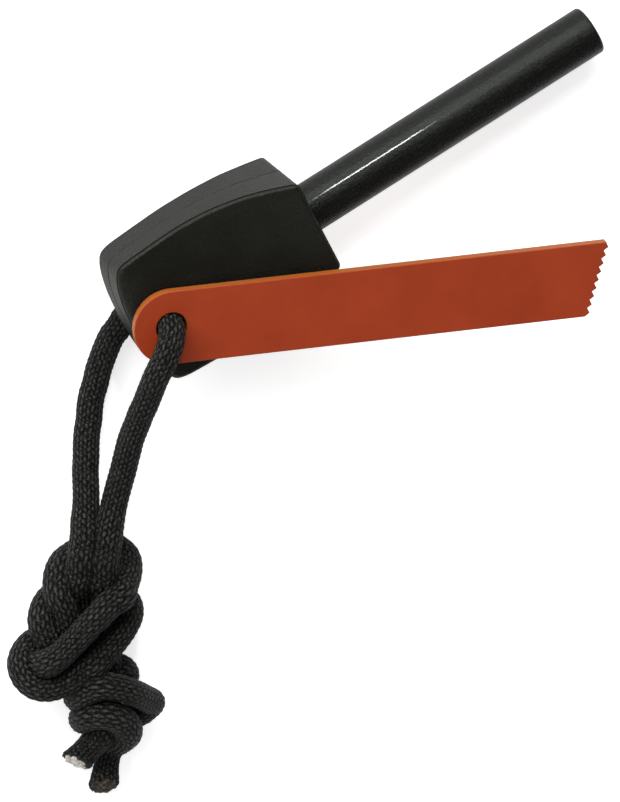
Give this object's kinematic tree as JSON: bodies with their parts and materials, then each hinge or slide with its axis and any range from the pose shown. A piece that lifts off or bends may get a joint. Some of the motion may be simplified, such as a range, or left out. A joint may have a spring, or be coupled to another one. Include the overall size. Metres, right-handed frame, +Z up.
{
  "type": "fire starter",
  "caption": "Pocket fire starter: a ferrocerium rod in a scooped moulded handle, a toothed steel scraper and a knotted cord lanyard through both.",
  "frame": {"origin": "the middle of the underside of the rod, handle and scraper together, on the table that they lie on; the lanyard is left out of it", "axes": "+X along the table from the butt of the handle towards the free end of the rod, +Y to the left of that, away from the scraper's end, and +Z up from the table"},
  "size_m": [0.1298, 0.0835, 0.0214],
  "materials": {
    "handle_plastic": "black moulded plastic with a fine satin grain",
    "ferrocerium": "dark ferrocerium, satin, with fine drawing lines along the rod",
    "scraper_coating": "orange red coated steel, satin",
    "cord_sheath": "black braided nylon sheath",
    "cord_core": "white core yarns at a cut end",
    "cord_melt": "tan melted core at a sealed end"
  },
  "bodies": {
    "handle": {"handle_upper_half": "handle_plastic", "handle_lower_half": "handle_plastic", "ferro_rod": "ferrocerium"},
    "scraper": {"scraper": "scraper_coating"},
    "lanyard": {"lanyard_cord": "cord_sheath", "cord_cut_core": "cord_core", "cord_melted_core": "cord_melt"}
  },
  "joints": [
    {"name": "scraper_swing", "type": "hinge", "parent": "handle", "child": "scraper", "pos_m": [-0.0378, 0.01035, 0.01465], "axis": [-0.0374, 0, 0.9993], "range_deg": [-40, 165]},
    {"name": "lanyard_swing", "type": "hinge", "parent": "handle", "child": "lanyard", "pos_m": [-0.03815, 0.01065, 0.0095], "axis": [0, 0, 1], "range_deg": [-30, 20]}
  ]
}
